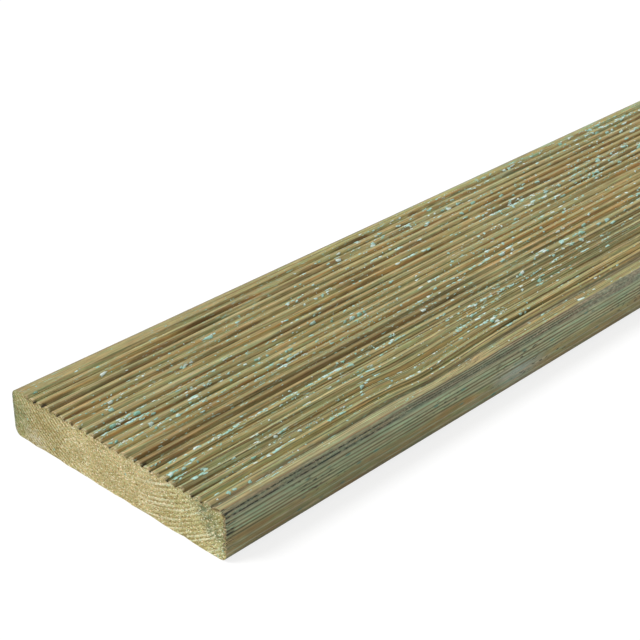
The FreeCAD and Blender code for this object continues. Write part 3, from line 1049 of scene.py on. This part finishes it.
def salt_lumps(along, across, length, width, rings, corners, random):
    """Low lumps draped on the face: rings about each middle, stretched along the grain, with a lobed
    outline, raised by a dome and sunk a little at the rim, and closed underneath.

    Returns the points, the quads and triangles, the height share and shade of each point, and the map
    for baking, which gives each lump a square of its own and folds its underside out round its rim.
    """
    count = along.size
    edge = HALF - FACE_MARGIN - LOBE_REACH * width
    across = np.clip(across, -edge, edge)
    rise = np.clip(0.08 * width + random.uniform(0.04, 0.1, count), *LUMP_RISE)
    turn = np.arange(corners) / corners * 2 * np.pi
    lobes = 1 + TWO_LOBES * np.sin(2 * turn + random.uniform(0, 6.3, (count, 1)))
    lobes += THREE_LOBES * np.sin(3 * turn + random.uniform(0, 6.3, (count, 1)))
    shares = np.array([0.0] + [share for share, _ in rings for _ in turn] + [0.0])
    domes = np.array([1.0] + [dome for _, dome in rings for _ in turn] + [-0.4])
    angles = np.concatenate([[0.0], np.tile(turn, len(rings)), [0.0]])
    ends = np.ones((count, 1))
    outline = np.concatenate([ends, np.tile(lobes, len(rings)), ends], axis=1)
    u = along[:, None] + length[:, None] / 2 * shares * outline * np.cos(angles)
    v = across[:, None] + width[:, None] / 2 * shares * outline * np.sin(angles)
    spot, outward = on_skin(np.clip(u, CUT_MARGIN, LENGTH - CUT_MARGIN), -v)
    lump = 1 + 0.3 * scatter(u, v, 31)
    points = spot + outward * (rise[:, None] * domes * lump)[..., None]

    ring = close_rings(1 + np.arange(len(rings) * corners).reshape(len(rings), corners))
    last = len(rings) * corners + 1
    cap = np.stack([np.zeros(corners, int), ring[0, :-1], ring[0, 1:]], axis=-1)
    bowl = np.stack([np.full(corners, last), ring[-1, 1:], ring[-1, :-1]], axis=-1)
    each = np.arange(count)[:, None, None] * (last + 1)
    quads = (grid_faces(ring)[None, :, ::-1] + each).reshape(-1, 4)
    triangles = (np.concatenate([cap, bowl])[None] + each).reshape(-1, 3)

    flat = shares * 0.36
    sheet = np.stack([flat * np.cos(angles), flat * np.sin(angles)], axis=-1)
    outer = turn + np.pi / corners
    folded = np.stack([np.cos(outer), np.sin(outer)], axis=-1) * 0.46
    bowl_sheet = np.stack([folded, sheet[bowl[:, 1]], sheet[bowl[:, 2]]], axis=1)
    triangle_sheet = np.concatenate([sheet[cap], bowl_sheet]).reshape(-1, 2)
    quad_sheet = sheet[grid_faces(ring)[:, ::-1]].reshape(-1, 2)
    bake_map = bake_squares(count, 0.5, (quad_sheet, triangle_sheet))
    high = np.tile(np.clip(domes, 0, 1), count)
    shade = np.repeat(random.uniform(0, 1, count), last + 1)
    return points.reshape(-1, 3), quads, triangles, high, shade, bake_map


def dried_salt():
    """Chalky salt: blue-green at the rim of a lump, darker there in part as painted shade, and nearly
    white on top, some lumps greener.
    """
    finish = Finish("dried_salt")
    high, shade = finish.attribute("high"), finish.attribute("shade")
    place = finish.add("ShaderNodeTexCoord", output="Object")
    chalk = finish.noise(place, (0.6 * MM, 0.6 * MM, 0.6 * MM))
    body = finish.blend(finish.step(shade, 0.4, 1.0), paint(190, 229, 218), paint(144, 199, 176))
    body = finish.blend(finish.step(shade, 0.36, 0.24), body, paint(226, 240, 231))
    # The darker teal rim is the salt's edge colour, and partly painted shade where a lump meets the wood
    colour = finish.blend(finish.step(high, 0.05, 0.75), paint(106, 156, 138), body)
    colour = finish.blend(finish.step(chalk, 0.52, 0.7, 0.0, 0.5), colour, paint(230, 246, 242))
    return finish.dress(colour, 0.42, finish.bump(chalk, 0.12 * MM), 0.5)


salt_finish = dried_salt()
salt_random = np.random.default_rng(SALT_SEED)


def make_salt(name, places, rings, corners):
    """One piece of many lumps, riding on the plank."""
    points, quads, triangles, high, shade, bake_map = salt_lumps(*places, rings, corners, salt_random)
    salt = make_piece(
        name,
        points,
        ((quads, 0), (triangles, 0)),
        (salt_finish,),
        {"high": high, "shade": shade},
        bake_map,
    )
    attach(salt, "root")


make_salt("salt_crust", crust_places(salt_random), CRUST_RINGS, CRUST_CORNERS)
speck_along, speck_across = salt_spots(salt_random, SPECK_SPOTS)
speck_size = salt_random.uniform(*SPECK_SIZE, speck_along.size)
speck_width = speck_size * salt_random.uniform(0.6, 1.0, speck_along.size)
make_salt("salt_specks", (speck_along, speck_across, speck_size, speck_width), SPECK_RINGS, SPECK_CORNERS)

# Torn fibres are slivers of the wood itself. The saw lifted them along the edges of each end and the
# planer tore them where the grain rises, so they are rooted in the plank and stand a little off it.
FIBRE_SEED = 23
SLIVER_RINGS = ((0.0, 1.0), (0.35, 0.8), (0.7, 0.45))
SLIVER_CORNERS = 3
SLIVER_FLATNESS = 0.6
SLIVER_WIDTH = (0.16, 0.34)
SLIVER_ROOT = 0.04
TORN_STRIPS = (
    # first and last place along, first and last girth, number, length, lift
    (2, 96, 58.2, 60.6, 150, 1.1, 0.25),
    (112, 142, 52.5, 57.5, 46, 2.2, 0.35),
    (130, 420, 57.2, 60.8, 140, 1.3, 0.25),
    (5, LENGTH - 5, -52, 52, 120, 9.0, 0.3),
    (420, LENGTH - 2, 57.4, 60.8, 420, 1.3, 0.25),
    (2, LENGTH - 2, -60.8, -57.4, 420, 1.3, 0.25),
    (0.3, 2.5, 58, 75, 40, 1.8, 0.5),
)
CUT_FIBRES = 520
CUT_COARSE = 0.3
COARSE_GIRTH = (52, 76)
FINE_GIRTH = (-54, 56)
CUT_LENGTH = (0.35, 1.0)
CUT_WIDTH = (0.22, 0.45)
CUT_ROOT = 0.2


def sliver_mesh(root, lead, outward, length, width, lift):
    """Thin spikes: a triangle of corners carried from the root along the lead, narrowing to a point,
    while its middle rises from the surface with the square of the way gone.

    Returns points, quads, triangles and the map for baking, a narrow square for each spike.
    """
    count, corners = len(root), SLIVER_CORNERS
    beside = np.cross(outward, lead)
    beside /= np.linalg.norm(beside, axis=-1, keepdims=True)
    way = np.array([share for share, _ in SLIVER_RINGS] + [1.0])
    middle = root[:, None] + lead[:, None] * (length[:, None] * way)[..., None]
    middle = middle + outward[:, None] * (lift[:, None] * way**2)[..., None]
    turn = np.arange(corners) / corners * 2 * np.pi + np.pi / 2
    shares = np.array([share for _, share in SLIVER_RINGS])[None, :, None, None]
    thick = shares * width[:, None, None, None] / 2
    sideways = beside[:, None, None] * np.cos(turn)[:, None]
    spread = sideways + outward[:, None, None] * np.sin(turn)[:, None] * SLIVER_FLATNESS
    tubes = middle[:, :-1, None] + thick * spread
    points = np.concatenate([tubes.reshape(count, -1, 3), middle[:, -1:]], axis=1)

    rings = len(SLIVER_RINGS)
    ring = close_rings(np.arange(rings * corners).reshape(rings, corners))
    tip = rings * corners
    cap = np.stack([ring[-1, :-1], ring[-1, 1:], np.full(corners, tip)], axis=-1)
    base = ring[0, :3][None, ::-1]
    each = np.arange(count)[:, None, None] * (tip + 1)
    quads = (grid_faces(ring)[None] + each).reshape(-1, 4)
    triangles = (np.concatenate([cap, base])[None] + each).reshape(-1, 3)

    sheet_way = np.linspace(0.05, 0.8, rings)
    sheet = np.stack(np.broadcast_arrays(sheet_way[:, None], np.linspace(0.1, 0.9, corners + 1)), axis=-1)
    quad_sheet = sheet.reshape(-1, 2)[grid_faces(np.arange(sheet.size // 2).reshape(sheet.shape[:2]))]
    cap_tip = (sheet[-1, :-1] + sheet[-1, 1:]) / 2 + [0.15, 0]
    cap_sheet = np.stack([sheet[-1, :-1], sheet[-1, 1:], cap_tip], axis=1)
    base_sheet = np.array([[[0.01, 0.01], [0.04, 0.01], [0.01, 0.06]]])
    triangle_sheet = np.concatenate([cap_sheet, base_sheet]).reshape(-1, 2)
    bake_map = bake_squares(count, 0, (quad_sheet.reshape(-1, 2), triangle_sheet))
    return points.reshape(-1, 3), quads, triangles, bake_map


def torn_slivers(random):
    """Root, lead, outward direction, length, width and lift of each sliver on the planed faces."""
    along, girth, length, lift = [], [], [], []
    for first, last, from_girth, to_girth, number, reach, height in TORN_STRIPS:
        along.append(random.uniform(first, last, number))
        girth.append(random.uniform(from_girth, to_girth, number))
        length.append(reach * random.uniform(0.4, 1.5, number))
        lift.append(height * random.uniform(0.3, 1.3, number))
    along, girth, length, lift = (np.concatenate(part) for part in (along, girth, length, lift))
    root, outward = on_skin(along, girth)
    sideways = random.normal(0, 0.1, along.size)
    lead = np.stack([np.ones(along.size), sideways, np.zeros(along.size)], axis=-1)
    lead -= outward * (lead * outward).sum(axis=-1, keepdims=True)
    lead /= np.linalg.norm(lead, axis=-1, keepdims=True)
    width = np.clip(length * 0.12, *SLIVER_WIDTH)
    return root - outward * SLIVER_ROOT, lead, outward, length, width, lift


def cut_slivers(random, row, sign):
    """The same for the edge of a sawn end: slivers that lean out of the end and off the skin."""
    coarse = random.uniform(0, 1, CUT_FIBRES) < CUT_COARSE
    coarse_girth = random.uniform(*COARSE_GIRTH, CUT_FIBRES)
    girth = np.where(coarse, coarse_girth, random.uniform(*FINE_GIRTH, CUT_FIBRES))
    root, outward = on_skin(np.full(CUT_FIBRES, x_rows[row, 0]), girth)
    sideways = random.normal(0, 0.7, CUT_FIBRES)
    upwards = random.normal(0, 0.4, CUT_FIBRES)
    lead = np.stack([np.full(CUT_FIBRES, sign), sideways, upwards], axis=-1)
    lead += outward * random.uniform(-0.1, 0.55, CUT_FIBRES)[:, None]
    lead /= np.linalg.norm(lead, axis=-1, keepdims=True)
    length = random.uniform(*CUT_LENGTH, CUT_FIBRES) * (1 + 0.6 * coarse)
    width = random.uniform(*CUT_WIDTH, CUT_FIBRES) * (1 + 0.5 * coarse)
    start = root - outward * random.uniform(0.0, 0.5, CUT_FIBRES)[:, None] - lead * CUT_ROOT
    return start, lead, outward, length, width, length * 0.2


def torn_wood():
    """Bare fibre: cream to straw, paler than the weather-worn faces round it."""
    finish = Finish("torn_fibre")
    place = finish.add("ShaderNodeTexCoord", output="Object")
    tone = finish.noise(place, (7 * MM, 2 * MM, 2 * MM))
    strand = finish.noise(place, (1.2 * MM, 0.2 * MM, 0.2 * MM), seed=2)
    colour = finish.blend(finish.step(tone, 0.3, 0.7), paint(208, 192, 154), paint(172, 154, 108))
    colour = finish.shade(colour, finish.step(strand, 0.3, 0.7, 0.85, 1.1))
    return finish.dress(colour, 0.8, finish.bump(strand, 0.05 * MM), 0.25)


fibre_random = np.random.default_rng(FIBRE_SEED)
sliver_groups = (
    torn_slivers(fibre_random),
    cut_slivers(fibre_random, 0, -1.0),
    cut_slivers(fibre_random, -1, 1.0),
)
slivers = [np.concatenate(part) for part in zip(*sliver_groups)]
sliver_points, sliver_quads, sliver_triangles, sliver_map = sliver_mesh(*slivers)
fibres = make_piece(
    "torn_fibres",
    sliver_points,
    ((sliver_quads, 0), (sliver_triangles, 0)),
    (torn_wood(),),
    {},
    sliver_map,
)
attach(fibres, "root")

# The studio: a wide pale floor just under the board, one broad soft lamp from the left of the
# camera and an even white surround.
FLOOR_SIZE = 40
FLOOR_GAP = 0.0002
KEY_FROM = Vector((-0.60, 0.36, 0.72))
KEY_STRENGTH = 3.0
KEY_SPREAD = math.radians(24)
FILL_STRENGTH = 0.3
MATT_WHITE = (0.82, 0.82, 0.82, 1)
PAPER = (0.25, 0.25, 0.25, 1)
PAPER_GLOW = 0.8


def seen_rays(nodes, links):
    """1 for rays that show a surface as it is seen, direct, mirrored or through glass, else 0."""
    path = nodes.new("ShaderNodeLightPath")
    seen = path.outputs["Is Camera Ray"]
    for kind in ("Is Glossy Ray", "Is Transmission Ray"):
        either = nodes.new("ShaderNodeMath")
        either.operation = "MAXIMUM"
        links.new(seen, either.inputs[0])
        links.new(path.outputs[kind], either.inputs[1])
        seen = either.outputs[0]
    return seen


def white_floor():
    """Matt white that is seen as white paper with a faint shadow, and lights the board as matt white."""
    material = bpy.data.materials.new("studio_floor")
    material.use_nodes = True
    nodes, links = material.node_tree.nodes, material.node_tree.links
    nodes.clear()
    matt = nodes.new("ShaderNodeBsdfDiffuse")
    matt.inputs["Color"].default_value = MATT_WHITE
    paper = nodes.new("ShaderNodeBsdfDiffuse")
    paper.inputs["Color"].default_value = PAPER
    glow = nodes.new("ShaderNodeEmission")
    glow.inputs["Strength"].default_value = PAPER_GLOW
    both = nodes.new("ShaderNodeAddShader")
    links.new(paper.outputs[0], both.inputs[0])
    links.new(glow.outputs[0], both.inputs[1])
    mix = nodes.new("ShaderNodeMixShader")
    links.new(seen_rays(nodes, links), mix.inputs[0])
    links.new(matt.outputs[0], mix.inputs[1])
    links.new(both.outputs[0], mix.inputs[2])
    out = nodes.new("ShaderNodeOutputMaterial")
    links.new(mix.outputs[0], out.inputs["Surface"])
    return material


floor_mesh = bpy.data.meshes.new("floor")
reach = FLOOR_SIZE / 2
floor_corners = [(x * reach, y * reach, -FLOOR_GAP) for x, y in ((-1, -1), (1, -1), (1, 1), (-1, 1))]
floor_mesh.from_pydata(floor_corners, [], [(0, 1, 2, 3)])
floor_mesh.materials.append(white_floor())
floor = bpy.data.objects.new("floor", floor_mesh)
bpy.context.scene.collection.objects.link(floor)

key = bpy.data.lights.new("key", "SUN")
key.energy = KEY_STRENGTH
key.angle = KEY_SPREAD
key_lamp = bpy.data.objects.new("key", key)
key_lamp.rotation_euler = KEY_FROM.to_track_quat("Z", "Y").to_euler()
bpy.context.scene.collection.objects.link(key_lamp)

world = bpy.data.worlds.new("surround")
world.use_nodes = True
nodes, links = world.node_tree.nodes, world.node_tree.links
strength = nodes.new("ShaderNodeMapRange")
strength.inputs["To Min"].default_value = FILL_STRENGTH
strength.inputs["To Max"].default_value = 1.0
links.new(seen_rays(nodes, links), strength.inputs["Value"])
nodes["Background"].inputs["Color"].default_value = (1, 1, 1, 1)
links.new(strength.outputs[0], nodes["Background"].inputs["Strength"])
bpy.context.scene.world = world

# The camera stands off the board's near right corner, above it, with a long lens. It shows the near end
# whole, the face and the right side, and lets the board run out of the picture. It aims at a point to the
# right of and above the middle of the near end's foot.
AZIMUTH, ELEVATION = math.radians(-46.268), math.radians(28.773)
LENS = 90.50
SENSOR = 36
NEAREST_SEEN = 0.01
DISTANCE = 0.59361
AIM_RIGHT, AIM_UP = 0.07556, 0.06436
back = Vector(
    (
        math.sin(AZIMUTH) * math.cos(ELEVATION),
        -math.cos(AZIMUTH) * math.cos(ELEVATION),
        math.sin(ELEVATION),
    )
)
right = Vector((math.cos(AZIMUTH), math.sin(AZIMUTH), 0))
up = back.cross(right)
aim = Vector((-LENGTH / 2 * MM, 0, 0)) + right * AIM_RIGHT + up * AIM_UP
camera_data = bpy.data.cameras.new("camera")
camera_data.lens = LENS
camera_data.sensor_width = SENSOR
camera = bpy.data.objects.new("camera", camera_data)
camera.location = aim + back * DISTANCE
camera.rotation_euler = (-back).to_track_quat("-Z", "Y").to_euler()
camera_data.clip_start = NEAREST_SEEN
bpy.context.scene.collection.objects.link(camera)
bpy.context.scene.camera = camera
bpy.context.scene.view_settings.view_transform = "Standard"
